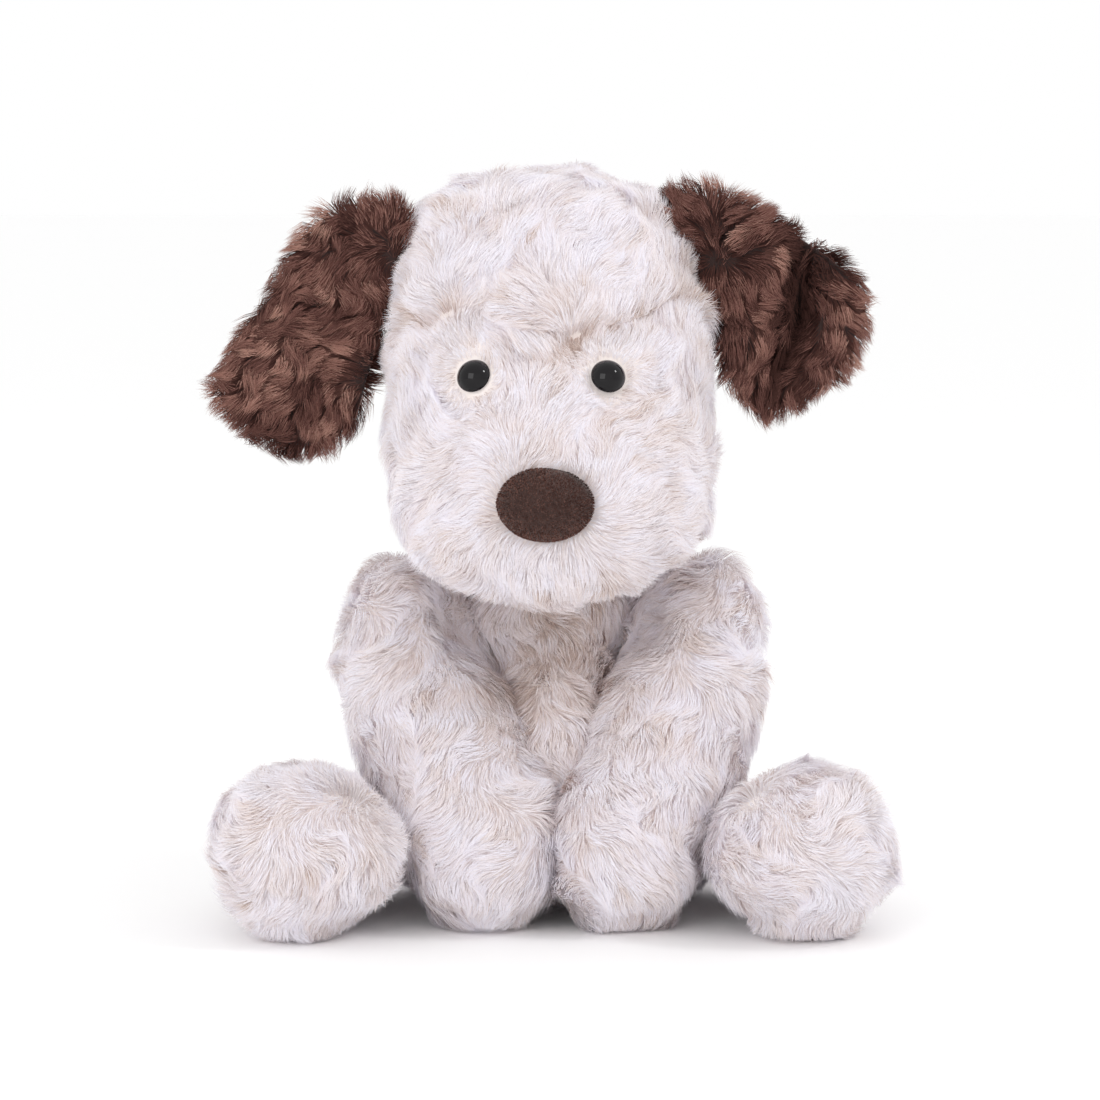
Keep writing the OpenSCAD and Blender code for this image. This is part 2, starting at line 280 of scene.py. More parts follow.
def noise_node(tree, scale):
    place = tree.nodes.new("ShaderNodeTexCoord")
    noise = tree.nodes.new("ShaderNodeTexNoise")
    noise.inputs["Scale"].default_value = scale
    noise.inputs["Detail"].default_value = 4.0
    noise.inputs["Roughness"].default_value = 0.6
    tree.links.new(place.outputs["Object"], noise.inputs["Vector"])
    return noise


def mottled(name, low, high, scale, bump_scale, bump, roughness, sheen=0.0):
    """A cloth-like material: colour wanders between low and high, with a fine bump."""
    material = principled(name, low, roughness, sheen)
    tree = material.node_tree
    shader = tree.nodes["Principled BSDF"]
    ramp = tree.nodes.new("ShaderNodeValToRGB")
    ramp.color_ramp.elements[0].position = 0.3
    ramp.color_ramp.elements[0].color = (*low, 1)
    ramp.color_ramp.elements[1].position = 0.7
    ramp.color_ramp.elements[1].color = (*high, 1)
    tree.links.new(noise_node(tree, scale).outputs["Fac"], ramp.inputs["Fac"])
    tree.links.new(ramp.outputs["Color"], shader.inputs["Base Color"])
    relief = tree.nodes.new("ShaderNodeBump")
    relief.inputs["Strength"].default_value = 0.6
    relief.inputs["Distance"].default_value = bump
    tree.links.new(noise_node(tree, bump_scale).outputs["Fac"], relief.inputs["Height"])
    tree.links.new(relief.outputs["Normal"], shader.inputs["Normal"])
    return material


# Tones of the pile, from the lightest to the darkest: (share, at the root, at the tip). Each root
# is darker than its tip: partly the fibres' own tone, partly painted shade deep in the pile; the
# brown tips also carry painted highlight.
CREAM_TONES = [
    (0.34, (0.79, 0.75, 0.78), (0.85, 0.83, 0.88)),
    (0.26, (0.79, 0.73, 0.74), (0.85, 0.81, 0.84)),
    (0.22, (0.77, 0.71, 0.71), (0.84, 0.79, 0.80)),
    (0.12, (0.74, 0.66, 0.65), (0.82, 0.76, 0.76)),
    (0.05, (0.66, 0.56, 0.53), (0.76, 0.68, 0.66)),
    (0.01, (0.50, 0.39, 0.35), (0.62, 0.51, 0.46)),
]
BROWN_TONES = [
    (0.11, (0.126, 0.063, 0.052), (0.440, 0.256, 0.204)),
    (0.24, (0.110, 0.053, 0.044), (0.330, 0.176, 0.141)),
    (0.30, (0.098, 0.046, 0.039), (0.236, 0.118, 0.097)),
    (0.25, (0.082, 0.038, 0.032), (0.170, 0.081, 0.068)),
    (0.10, (0.050, 0.023, 0.020), (0.092, 0.043, 0.036)),
]


def pile_material(name, colour):
    """Matt pile: its front reflects, and its back glows with the light that falls on its front."""
    material = principled(name, colour, 0.9)
    tree = material.node_tree
    front = tree.nodes["Principled BSDF"]
    front.inputs["Specular IOR Level"].default_value = 0.0
    back = tree.nodes.new("ShaderNodeBsdfTranslucent")
    back.inputs["Color"].default_value = (*colour, 1)
    place = tree.nodes.new("ShaderNodeNewGeometry")
    share = tree.nodes.new("ShaderNodeMath")
    share.operation = "MULTIPLY_ADD"
    share.inputs[1].default_value = 0.8
    share.inputs[2].default_value = 0.1
    tree.links.new(place.outputs["Backfacing"], share.inputs[0])
    mix = tree.nodes.new("ShaderNodeMixShader")
    tree.links.new(share.outputs[0], mix.inputs["Fac"])
    tree.links.new(front.outputs["BSDF"], mix.inputs[1])
    tree.links.new(back.outputs["BSDF"], mix.inputs[2])
    tree.links.new(mix.outputs["Shader"], tree.nodes["Material Output"].inputs["Surface"])
    return material


def pile_materials(name, tones):
    """Materials of one pile: a root and a tip of each tone, in that order."""
    return [
        pile_material(f"{name}_{k}_{end}", colour)
        for k, (_, root, tip) in enumerate(tones)
        for end, colour in (("root", root), ("tip", tip))
    ]


def scuffed(name, colour, roughness, scale):
    """A hard material whose roughness wanders between two values."""
    material = principled(name, colour, roughness[0])
    tree = material.node_tree
    spread = tree.nodes.new("ShaderNodeMapRange")
    spread.inputs["To Min"].default_value = roughness[0]
    spread.inputs["To Max"].default_value = roughness[1]
    tree.links.new(noise_node(tree, scale).outputs["Fac"], spread.inputs["Value"])
    shader = tree.nodes["Principled BSDF"]
    tree.links.new(spread.outputs["Result"], shader.inputs["Roughness"])
    return material


cream_pile = pile_materials("cream_pile", CREAM_TONES)
brown_pile = pile_materials("brown_pile", BROWN_TONES)
fibre = mottled("fibre_fill", (0.80, 0.80, 0.80), (0.92, 0.92, 0.92), 160, 700, 1.0 * MM, 0.95, 0.2)
cream_cloth = mottled(
    "cream_backing", (0.80, 0.71, 0.67), (0.86, 0.79, 0.77), 90, 900, 0.4 * MM, 0.95, 0.3
)
brown_cloth = mottled(
    "brown_backing", (0.020, 0.009, 0.008), (0.040, 0.018, 0.015), 90, 900, 0.4 * MM, 0.95, 0.2
)

# ---------------------------------------------------------------- pile


def scatter(mesh, density, rng):
    """Even random points on a mesh, density in points per square metre: (points, normals)."""
    mesh.calc_loop_triangles()
    corners = np.empty(len(mesh.loop_triangles) * 3, np.int32)
    mesh.loop_triangles.foreach_get("vertices", corners)
    corners = corners.reshape(-1, 3)
    points, normals = points_of(mesh), normals_of(mesh)
    a, b, c = (points[corners[:, k]] for k in range(3))
    area = np.linalg.norm(np.cross(b - a, c - a), axis=1) / 2
    total = np.cumsum(area)
    count = int(total[-1] * density)
    pick = np.searchsorted(total, (np.arange(count) + rng.random(count)) / count * total[-1])
    pick = np.minimum(pick, len(area) - 1)
    u, v = rng.random(count), rng.random(count)
    u, v = np.where(u + v > 1, 1 - u, u), np.where(u + v > 1, 1 - v, v)
    shares = np.stack([1 - u - v, u, v], 1)
    place = (points[corners[pick]] * shares[:, :, None]).sum(1)
    normal = unit((normals[corners[pick]] * shares[:, :, None]).sum(1))
    return place, normal


def nearest_of(points, centres):
    """Index of the nearest centre of each point."""
    tree = kdtree.KDTree(len(centres))
    for k, centre in enumerate(centres):
        tree.insert(centre, k)
    tree.balance()
    return np.array([tree.find(p)[1] for p in points])


# Share of the skin's own normal in a strand's shading
SOFTNESS = 0.75
# Shape of the pile, shared by every piece unless it says otherwise
PILE = {
    "density": 2.5,  # strands per square millimetre
    "length": 11.0,  # millimetres
    "width": 0.26,  # millimetres, at the root
    "lift": (38, 7),  # degrees off the skin: at the root, and past the bend
    "swirl": 1.0,  # how far the combing wanders, in radians
    "swirl_length": 44.0,  # millimetres from one whorl to the next
    "clump": 5.0,  # millimetres between clumps
    "pull": 0.28,  # how far a clump's tips draw together
    "own": 0.5,  # how far a strand's tone strays from its clump's
    "tuft": 0.65,  # how far the tips of a tuft curl round, in radians
}


def comb(place, normal, flow, pile, seed):
    """Way the pile lies at each point, along the skin."""
    way = flat_on(flow(place, normal), normal)
    angle = pile["swirl"] * waves(place, pile["swirl_length"] * MM, seed)
    angle += pile["swirl"] * 0.35 * waves(place, pile["swirl_length"] * 0.4 * MM, seed + 1)
    return turned(way, normal, angle)


def strand_shape(place, normal, way, length, pile, seed, jitter):
    """Bend and tip of strands that leave place along way."""
    rise = 1 + 0.45 * waves(place, 15 * MM, seed + 2)
    low, high = (np.radians(a) * rise * (1 + jitter * 0.12) for a in pile["lift"])
    first = way * np.cos(low)[:, None] + normal * np.sin(low)[:, None]
    tuft = pile["tuft"] * waves(place, 16 * MM, seed + 3)
    curl = turned(way, normal, tuft + 0.16 * jitter)
    second = curl * np.cos(high)[:, None] + normal * np.sin(high)[:, None]
    bend = place + first * (length * 0.5)[:, None]
    return bend, bend + second * (length * 0.5)[:, None]


def make_pile(
    name, skin, flow, tones, materials, seed, keep=None, dark=None, trim=None, **changes
):
    """Long pile on a skin, as one mesh of thin tapering strands drawn together in clumps.
    flow gives the way that it is combed, keep says where it grows, dark where its rarer and darker
    tones gather (painted shade on the head, chest, forelegs, neck and ears), and trim what share of
    its length is left."""
    pile = {**PILE, **changes}
    rng = np.random.default_rng(seed)
    place, normal = scatter(skin.data, pile["density"] / MM**2, rng)
    if keep:
        kept = keep(place, normal)
        place, normal = place[kept], normal[kept]
    middles, middle_normals = scatter(skin.data, 1 / (pile["clump"] * MM) ** 2, rng)
    clump = nearest_of(place, middles)
    count = len(place)

    size = pile["length"] * MM * (1 + 0.16 * waves(place, 21 * MM, seed + 4))
    length = size * rng.uniform(0.72, 1.12, count)
    if trim:
        length *= trim(place)
    way = comb(place, normal, flow, pile, seed)
    jitter = rng.normal(size=count)
    bend, tip = strand_shape(place, normal, way, length, pile, seed, jitter)

    heads = comb(middles, middle_normals, flow, pile, seed)
    heads = turned(heads, middle_normals, rng.normal(size=len(middles)) * 0.28)
    head_length = pile["length"] * MM * rng.uniform(0.85, 1.1, len(middles))
    if trim:
        head_length *= trim(middles)
    head_bend, head_tip = strand_shape(
        middles, middle_normals, heads, head_length, pile, seed, rng.normal(size=len(middles))
    )
    pull = (pile["pull"] * rng.uniform(0.5, 1.3, len(middles)))[clump][:, None]
    pull *= rng.uniform(0.6, 1.1, (count, 1))
    tip += (head_tip[clump] - tip) * pull
    bend += (head_bend[clump] - bend) * pull * 0.4

    root = place - normal * 0.4 * MM
    for end in (root, bend, tip):
        end[:, 2] = np.maximum(end[:, 2], FLOOR_CLEARANCE)

    across = unit(np.cross(tip - root, normal))
    roll = rng.normal(size=count) * 0.45
    across = turned(across, unit(tip - root), roll)
    half = (across.T * pile["width"] * MM / 2 * rng.uniform(0.75, 1.25, count)).T
    points = np.stack([root - half, root + half, bend + half * 0.85, bend - half * 0.85, tip], 1)

    # Tones go by clump, with some strands of their own
    tone_noise = waves(middles, 26 * MM, seed + 6) * 0.3 + rng.normal(size=len(middles)) * 0.35
    rank = tone_noise[clump] + rng.normal(size=count) * pile["own"]
    cuts = np.quantile(rank, np.cumsum([t[0] for t in tones])[:-1])
    # Where dark says, strands move into darker tones: painted shade on the head, chest, forelegs,
    # neck and ears.
    if dark:
        rank += dark(place, normal)
    tone = np.searchsorted(cuts, rank)

    flat = unit(np.cross(across, tip - root))
    shading = unit(normal * SOFTNESS + flat * (1 - SOFTNESS))
    return add_object(name, strand_mesh(name, points, shading, tone, materials))


def strand_mesh(name, points, shading, tone, materials):
    """A mesh of one quad and one tip triangle per strand, with one shading normal per strand."""
    count = len(points)
    mesh = bpy.data.meshes.new(name)
    mesh.vertices.add(count * 5)
    mesh.vertices.foreach_set("co", points.astype(np.float32).ravel())
    first = np.arange(count)[:, None] * 5
    corners = first + np.array([0, 1, 2, 3, 3, 2, 4])
    mesh.loops.add(count * 7)
    mesh.loops.foreach_set("vertex_index", corners.astype(np.int32).ravel())
    mesh.polygons.add(count * 2)
    starts = np.arange(count)[:, None] * 7 + np.array([0, 4])
    mesh.polygons.foreach_set("loop_start", starts.astype(np.int32).ravel())
    for material in materials:
        mesh.materials.append(material)
    index = np.stack([tone * 2, tone * 2 + 1], 1)
    mesh.polygons.foreach_set("material_index", index.astype(np.int32).ravel())
    mesh.polygons.foreach_set("use_smooth", np.ones(count * 2, bool))
    mesh.update(calc_edges=True)
    free = mesh.attributes.new("custom_normal", "FLOAT_VECTOR", "POINT")
    free.data.foreach_set("vector", np.repeat(shading, 5, axis=0).astype(np.float32).ravel())
    return mesh


# ---------------------------------------------------------------- places, from the frame


def middle(node):
    low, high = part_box(node)
    return np.array((low + high) / 2)


def nodes_of(*starts):
    return [n for n in frame["nodes"] if n.startswith(starts)]


NOSE = middle("nose_patch")
NOSE_HALF = np.array((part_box("nose_patch")[1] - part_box("nose_patch")[0]) / 2)
EYES = [middle("eye_left"), middle("eye_right")]
EYE_R = (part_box("eye_left")[1].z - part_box("eye_left")[0].z) / 2
JOINTS = {j["name"]: np.array(j["pos_m"]) for j in frame["joints"]}
DOWN = np.array([0.0, 0.0, -1.0])
BACK = np.array([0.0, 1.0, 0.0])


# ---------------------------------------------------------------- head


def groove(points, line, depth, width, way):
    """Presses points in along way, near a line of (x, z) corners seen from the front."""
    at = points[:, [0, 2]]
    best = np.full(len(points), 1e9)
    for a, b in zip(line[:-1], line[1:]):
        a, b = np.array(a), np.array(b)
        t = np.clip(((at - a) @ (b - a)) / ((b - a) @ (b - a)), 0, 1)
        best = np.minimum(best, np.linalg.norm(at - a - t[:, None] * (b - a), axis=1))
    return points + np.outer(depth * np.exp(-((best / width) ** 2)), way)


HEAD_LOW, HEAD_HIGH = (np.array(c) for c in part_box("head_stuffing"))
BROW = EYES[0][2] + 17 * MM
# Creases of the face: corners as (x, z) in metres, and how deep
FACE_FOLDS = [
    ([(-0.056, BROW + 0.004), (-0.040, BROW), (-0.022, BROW + 0.003)], 4.6 * MM),
    ([(-0.004, BROW - 0.003), (0.006, BROW - 0.006), (0.014, BROW - 0.002)], 4.0 * MM),
    ([(0.020, BROW - 0.004), (0.034, BROW + 0.003), (0.054, BROW + 0.010)], 5.6 * MM),
    ([(-0.012, BROW - 0.013), (0.001, BROW - 0.017), (0.007, BROW - 0.008)], 3.0 * MM),
]
FACE_FOLD_WIDTH = 4 * MM


def shape_head(points, normals):
    """Narrower cheeks, forehead fold, brow creases, a full muzzle and a stuffed unevenness."""
    front = smoothstep(-normals[:, 1], 0.1, 0.5)
    share = (points[:, 2] - HEAD_LOW[2]) / (HEAD_HIGH[2] - HEAD_LOW[2])
    wide = 1 - 0.05 * smoothstep(share, 0.7, 0.35) + 0.035 * smoothstep(share, 0.25, 0.05)
    wide += 0.07 * smoothstep(share, 0.6, 0.85)
    points = points * np.stack([wide, np.ones_like(wide), np.ones_like(wide)], 1)
    points[:, 0] -= 1.5 * MM + 1.5 * MM * smoothstep(share, 0.5, 0.8)
    points[:, 2] += 3 * MM * smoothstep(share, 0.7, 1.0)
    pressed = points
    for line, depth in FACE_FOLDS:
        pressed = groove(pressed, line, depth, FACE_FOLD_WIDTH, BACK)
    for eye in EYES:
        pressed = reach(pressed, eye + BACK * 5 * MM, 8 * MM, 18 * MM, -BACK * 3.2 * MM)
    muzzle = np.linalg.norm((points - NOSE) * [1, 0, 1], axis=1)
    pressed[:, 1] -= 2.5 * MM * np.exp(-((muzzle / (26 * MM)) ** 2))
    lumps = waves(points, 24 * MM, 15) * 0.8 * MM
    return points + (pressed - points) * front[:, None] + normals * lumps[:, None]


head_skin = make_skin("head_skin", nodes_of("head_", "face_"), 2.9 * MM, shape=shape_head)


def head_flow(place, normal):
    """The face is combed away from the nose, and the back of the head back and down."""
    away = unit(place - NOSE)
    front = smoothstep(-normal[:, 1], -0.2, 0.7)[:, None]
    way = away * front + (DOWN * 0.8 + BACK * 0.6) * (1 - front)
    for eye in EYES:
        far = np.linalg.norm(place - eye, axis=1, keepdims=True)
        way += unit(place - eye) * 2.2 * np.exp(-((far / (11 * MM)) ** 4))
    return way


def off_the_features(place, normal):
    """False for strands that would grow under an eye or the nose."""
    in_nose = (((place - NOSE)[:, [0, 2]] / NOSE_HALF[[0, 2]]) ** 2).sum(1) < 0.8
    kept = ~(in_nose & (normal[:, 1] < -0.2))
    for eye in EYES:
        kept &= np.linalg.norm((place - eye)[:, [0, 2]], axis=1) > EYE_R
    return kept


def head_trim(place):
    """The pile is short round the eyes, on the bridge of the nose and beside the nose."""
    bridge = (EYES[0] + EYES[1]) / 2 * 0.55 + NOSE * 0.45
    short = 0.25 * np.exp(-((np.linalg.norm(place - bridge, axis=1) / (20 * MM)) ** 2))
    short += 0.2 * np.exp(-((np.linalg.norm(place - NOSE, axis=1) / (24 * MM)) ** 4))
    for eye in EYES:
        short += 0.8 * np.exp(-((np.linalg.norm(place - eye, axis=1) / (13 * MM)) ** 4))
    return 1 - np.minimum(short, 0.66)


def head_painted_shade(place, normal):
    """Painted shade: darker beige tones in the creases, round the eyes and under the chin, where
    shade falls.
    """
    dark = 0.4 * smoothstep(-normal[:, 2], 0.3, 0.9)
    for eye in EYES:
        dark += 0.4 * np.exp(-((np.linalg.norm(place - eye, axis=1) / (11 * MM)) ** 2))
    for line, _ in FACE_FOLDS:
        sunk = groove(place, line, 1.0, FACE_FOLD_WIDTH, BACK)[:, 1] - place[:, 1]
        dark += 0.9 * sunk * smoothstep(-normal[:, 1], 0.1, 0.5)
    return dark


head_pile = make_pile(
    "head_pile", head_skin, head_flow, CREAM_TONES, cream_pile, 11,
    off_the_features, head_painted_shade, head_trim,
    density=3.4, width=0.22, lift=(34, 6), tuft=0.5, pull=0.24,
)


# ---------------------------------------------------------------- torso and neck


def torso_flow(place, normal):
    """Combed down and a little back."""
    return np.tile(DOWN + BACK * 0.1, (len(place), 1))


def shape_torso(points, normals):
    """A full belly that comes forward between the forelegs, round shoulders and hips."""
    points = reach(points, BELLY, 14 * MM, 50 * MM, -BACK * 31 * MM)
    for way in (-1, 1):
        shoulder = np.array([way * 42, 18, 106]) * MM
        points = reach(points, shoulder, 8 * MM, 36 * MM, np.array([way * 13, -8, 4]) * MM)
        hip = np.array([way * 50, 4, 26]) * MM
        points = reach(points, hip, 12 * MM, 36 * MM, np.array([way * 17, -7, 0]) * MM)
    upper = smoothstep(points[:, 2], 0.060, 0.100)
    points[:, 0] *= 1 + 0.12 * upper
    return points


def chest_painted_shade(place, normal):
    """Painted shade: the chest under the chin, where the head's shadow falls, gets darker beige
    tones, and so does the pile that touches it.
    """
    chest = BELLY + np.array([0, -3, 44]) * MM
    return 1.4 * np.exp(-((np.linalg.norm(place - chest, axis=1) / (32 * MM)) ** 2))


TORSO_MIDDLE = middle("torso_stuffing")
BELLY = np.array([0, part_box("torso_front_panel")[0].y, 0.055])
torso_skin = make_skin("torso_skin", nodes_of("torso_", "seat_"), 2.6 * MM, shape=shape_torso)
torso_pile = make_pile(
    "torso_pile", torso_skin, torso_flow, CREAM_TONES, cream_pile, 21, dark=chest_painted_shade
)

# The neck's skin runs from inside the torso's top to inside the head
NECK = JOINTS["head_nod"]
NECK_TOP = NECK + np.array([0, -8, 26]) * MM
NECK_LOW = NECK - np.array([0, -4, 26]) * MM
NECK_HALF = np.array([39, 25]) * MM


def make_neck():
    """A column that is narrow inside the torso and widens towards the head."""
    turn = np.linspace(0, 2 * math.pi, 48, endpoint=False)
    rows = []
    for f in np.linspace(0, 1, 14):
        centre = NECK_LOW + (NECK_TOP - NECK_LOW) * f
        half = NECK_HALF * (0.7 + 0.3 * math.sin(math.pi * min(f, 0.5)))
        ring = np.stack([np.sin(turn) * half[0], -np.cos(turn) * half[1], turn * 0], 1)
        rows.append(centre + ring)
    skin = ring_mesh("neck_skin", np.array(rows))
    shade_smooth(skin)
    return skin


# ---------------------------------------------------------------- legs


def foreleg_flow(place, normal):
    """Combed down and a little forwards."""
    return np.tile(DOWN + np.array([0, -0.3, 0]), (len(place), 1))


def hindleg_flow(side):
    """Combed outwards and down, a little away from a point above and inside the sole."""
    out = np.array([-1.0 if side == "left" else 1.0, 0, 0])
    start = middle(f"hindleg_{side}_sole") - out * 30 * MM - DOWN * 34 * MM

    def flow(place, normal):
        return unit(place - start) * 0.9 + out * 0.2 + BACK * 0.15 + DOWN * 0.3

    return flow


def towards_torso(joint, size, span):
    """A shape that draws a limb's root towards the middle of the torso, to meet its skin."""
    root = JOINTS[joint]
    middle_line = np.array([0, TORSO_MIDDLE[1], root[2]])
    way = unit(middle_line - root)

    def shape(points, normals):
        return reach(points, root + way * span * 0.7, span * 0.3, span * 1.3, way * size)

    return shape


def foreleg_shape(side):
    """Meets the torso, slopes off at the shoulder and fills out where the two legs touch."""
    meet = towards_torso(f"foreleg_{side}_swing", 8 * MM, 24 * MM)
    out = np.array([-1.0 if side == "left" else 1.0, 1, 1]) * MM

    def shape(points, normals):
        points = meet(points, normals)
        points = reach(points, np.array([80, 0, 118]) * out, 6 * MM, 22 * MM, (-3, 0, -1) * out)
        points = reach(points, np.array([60, -4, 122]) * out, 6 * MM, 24 * MM, (0, 0, 2) * out)
        points = reach(points, np.array([24, -22, 104]) * out, 8 * MM, 26 * MM, (9, 4, 0) * out)
        return reach(points, np.array([9, -62, 32]) * out, 12 * MM, 42 * MM, (-6, -5, 0) * out)

    return shape


def hindleg_shape(side):
    """Meets the torso, and its foot is full on the side of the forepaw."""
    meet = towards_torso(f"hindleg_{side}_splay", 12 * MM, 22 * MM)
    out = np.array([-1.0 if side == "left" else 1.0, 1, 1]) * MM

    def shape(points, normals):
        points = meet(points, normals)
        return reach(points, np.array([64, -80, 30]) * out, 8 * MM, 34 * MM, (-7, -2, 0) * out)

    return shape


# Skin and pile of each body
pieces = {}
for k, side in enumerate(("left", "right")):
    leg = f"foreleg_{side}"
    shape = foreleg_shape(side)
    skin = make_skin(f"{leg}_skin", nodes_of(leg), 1.9 * MM, shape=shape)
    pile = make_pile(
        f"{leg}_pile", skin, foreleg_flow, CREAM_TONES, cream_pile, 31 + 10 * k, dark=chest_painted_shade
    )
    pieces[leg] = (skin, pile)
    leg = f"hindleg_{side}"
    shape = hindleg_shape(side)
    skin = make_skin(f"{leg}_skin", nodes_of(leg), 1.2 * MM, shape=shape)
    pile = make_pile(
        f"{leg}_pile", skin, hindleg_flow(side), CREAM_TONES, cream_pile, 51 + 10 * k, swirl=1.3
    )
    pieces[leg] = (skin, pile)


# ---------------------------------------------------------------- ears
# Rows of an ear from its seam to its tip: its inner and outer edge, each as (outwards from its
# joint, up from it), in mm
EAR_ROWS_AT = {
    "left": [
        (-8, 8, 0, 20), (-3, -2, 20, 17), (2, -16, 33, 6), (6, -30, 42, -10), (10, -43, 55, -28),
        (14, -55, 61, -46), (24, -64, 50, -60), (33, -66, 42, -64),
    ],
    "right": [
        (-20, 14, -13, 25), (-11, 2, 11, 19), (-4, -12, 33, 7), (0, -24, 50, -8),
        (4, -36, 51, -25), (9, -46, 43, -39), (16, -51, 31, -48), (21, -52, 26, -51),
    ],
}
# Fold of each ear: corners from its joint as above, then depth and width
EAR_FOLDS = {
    "left": (((12, 14), (18, -18), (26, -54)), 4, 7),
    "right": (((30, 14), (31, -2), (31, -16), (27, -34)), 15, 6),
}
EAR_HALF_THICKNESS = 4.2 * MM
EAR_ROWS = 30
EAR_COLUMNS = 40


def ear_fold(side):
    """The fold as points (x, z), its depth and its width, in metres."""
    way = -1 if side == "left" else 1
    root = JOINTS[f"ear_{side}_flap"]
    corners, depth, width = EAR_FOLDS[side]
    return [(root[0] + way * x * MM, root[2] + z * MM) for x, z in corners], depth * MM, width * MM


def make_ear(side):
    """A flat leaf that hangs beside the head. The right one is folded over on itself."""
    way = -1 if side == "left" else 1
    root = JOINTS[f"ear_{side}_flap"]
    table = along_stations(EAR_ROWS_AT[side], EAR_ROWS) * MM
    edges = [
        np.stack([root[0] + way * table[:, k], 0 * table[:, k], root[2] + table[:, k + 1]], 1)
        for k in (0, 2)
    ]
    centre, half = (edges[0] + edges[1]) / 2, (edges[1] - edges[0]) / 2
    turn = np.linspace(0, 2 * math.pi, EAR_COLUMNS, endpoint=False) * way
    share = np.linspace(0, 1, EAR_ROWS)
    thick = EAR_HALF_THICKNESS * np.minimum(1, 0.45 + 3 * share) * np.sqrt(1.02 - share**6)
    rings = centre[:, None] + half[:, None] * np.cos(turn)[None, :, None]
    rings[..., 1] = root[1] - thick[:, None] * np.sin(turn)
    points = rings.reshape(-1, 3)
    points[:, 1] += waves(points * [1, 0, 1], 30 * MM, 61 + way) * 2.6 * MM
    line, depth, width = ear_fold(side)
    points = groove(points, line, depth, width, BACK)
    skin = ring_mesh(f"ear_{side}_skin", points.reshape(rings.shape))
    shade_smooth(skin)
    return skin


def ear_flow(side):
    root = JOINTS[f"ear_{side}_flap"]

    def flow(place, normal):
        return unit(place - root) + DOWN * 0.5

    return flow


def off_the_fold(side):
    """No pile grows at the bottom of the right ear's deep fold, so the very dark backing shows
    there as painted shade.
    """
    line, _, width = ear_fold(side)

    def keep(place, normal):
        sunk = groove(place, line, 1.0, width, BACK)[:, 1] - place[:, 1]
        return (sunk < 0.75) | (side == "left")

    return keep


def ear_painted_shade(side):
    """Painted shade: the darkest tones lie along the deep fold and where the ear leaves the head,
    where shade falls.
    """
    line, depth, width = ear_fold(side)
    root = JOINTS[f"ear_{side}_flap"]

    def dark(place, normal):
        sunk = groove(place, line, 1.0, width * 1.5, BACK)[:, 1] - place[:, 1]
        near = np.exp(-((np.linalg.norm(place - root, axis=1) / (20 * MM)) ** 2))
        return 1.8 * sunk * (depth > 6 * MM) + 0.3 * near

    return dark


for k, side in enumerate(("left", "right")):
    ear = f"ear_{side}"
    skin = make_ear(side)
    pile = make_pile(
        f"{ear}_pile", skin, ear_flow(side), BROWN_TONES, brown_pile, 71 + 10 * k,
        off_the_fold(side), ear_painted_shade(side),
        swirl=0.8, pull=0.52, clump=6.0, density=3.0, length=11, lift=(40, 12), tuft=0.8,
        width=0.23, own=0.3,
    )
    pieces[ear] = (skin, pile)


# ---------------------------------------------------------------- tail


def tail_flow(place, normal):
    """Combed from the tail's root to its tip."""
    return np.tile(middle("tail_stuffing") - JOINTS["tail_wag"], (len(place), 1))


def shape_tail(points, normals):
    """The whole thickness of the tail's root goes into the torso."""
    return reach(points, JOINTS["tail_wag"], 12 * MM, 26 * MM, -BACK * 8 * MM)


tail_skin = make_skin("tail_skin", nodes_of("tail_"), 1.0 * MM, voxel=3.5 * MM, shape=shape_tail)
tail_pile = make_pile(
    "tail_pile", tail_skin, tail_flow, CREAM_TONES, cream_pile, 91, swirl=0.7, length=10
)
pieces["tail"] = (tail_skin, tail_pile)
pieces["head"] = (head_skin, head_pile)
pieces["torso"] = (torso_skin, torso_pile)

# ---------------------------------------------------------------- bodies

CAD_NODES = {
    "head": nodes_of("head_", "face_"),
    "torso": nodes_of("torso_", "seat_panel"),
    "tail": nodes_of("tail_"),
}


SKIN_THICKNESS = 1.5 * MM


def make_filling(name, skin, body):
    """The stuffing inside a skin, a little smaller than it."""
    obj = add_object(name, skin.data.copy())
    obj.data.materials.clear()
    obj.data.materials.append(fibre)
    inner = points_of(obj.data) - normals_of(obj.data) * SKIN_THICKNESS
    inner[:, 2] = np.maximum(inner[:, 2], SKIN_CLEARANCE + 0.8 * MM)
    put_points(obj.data, inner)
    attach(obj, body)
    return obj


for body, (skin, pile) in pieces.items():
    brown = body.startswith("ear")
    skin.data.materials.append(brown_cloth if brown else cream_cloth)
    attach(skin, body)
    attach(pile, body)
    own = CAD_NODES.get(body, nodes_of(body))
    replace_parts(skin, *(n for n in own if n != f"{body}_stuffing"))
    if f"{body}_stuffing" in own:
        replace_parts(make_filling(f"{body}_filling", skin, body), f"{body}_stuffing")


def neck_trim(place):
    """Short at the low end, so that the neck's pile runs into the torso's."""
    return 0.4 + 0.6 * smoothstep(place[:, 2], NECK_LOW[2] + 4 * MM, NECK_LOW[2] + 24 * MM)


neck_skin = make_neck()
neck_pile = make_pile(
    "neck_pile", neck_skin, torso_flow, CREAM_TONES, cream_pile, 95,
    dark=chest_painted_shade, trim=neck_trim, lift=(26, 6),
)
neck_skin.data.materials.append(cream_cloth)
for obj in (neck_skin, neck_pile):
    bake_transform(obj)
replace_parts(neck_skin, "neck_stuffing")

pellet_cloth = mottled(
    "pellet_bag", (0.62, 0.60, 0.57), (0.72, 0.70, 0.67), 60, 1400, 0.3 * MM, 0.9, 0.2
)
pellet_bag = make_skin("pellet_bag", ["seat_pellet_bag"], 0.6 * MM, voxel=4 * MM)
pellet_bag.data.materials.append(pellet_cloth)
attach(pellet_bag, "torso")
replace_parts(pellet_bag, "seat_pellet_bag")

# ---------------------------------------------------------------- closing seam


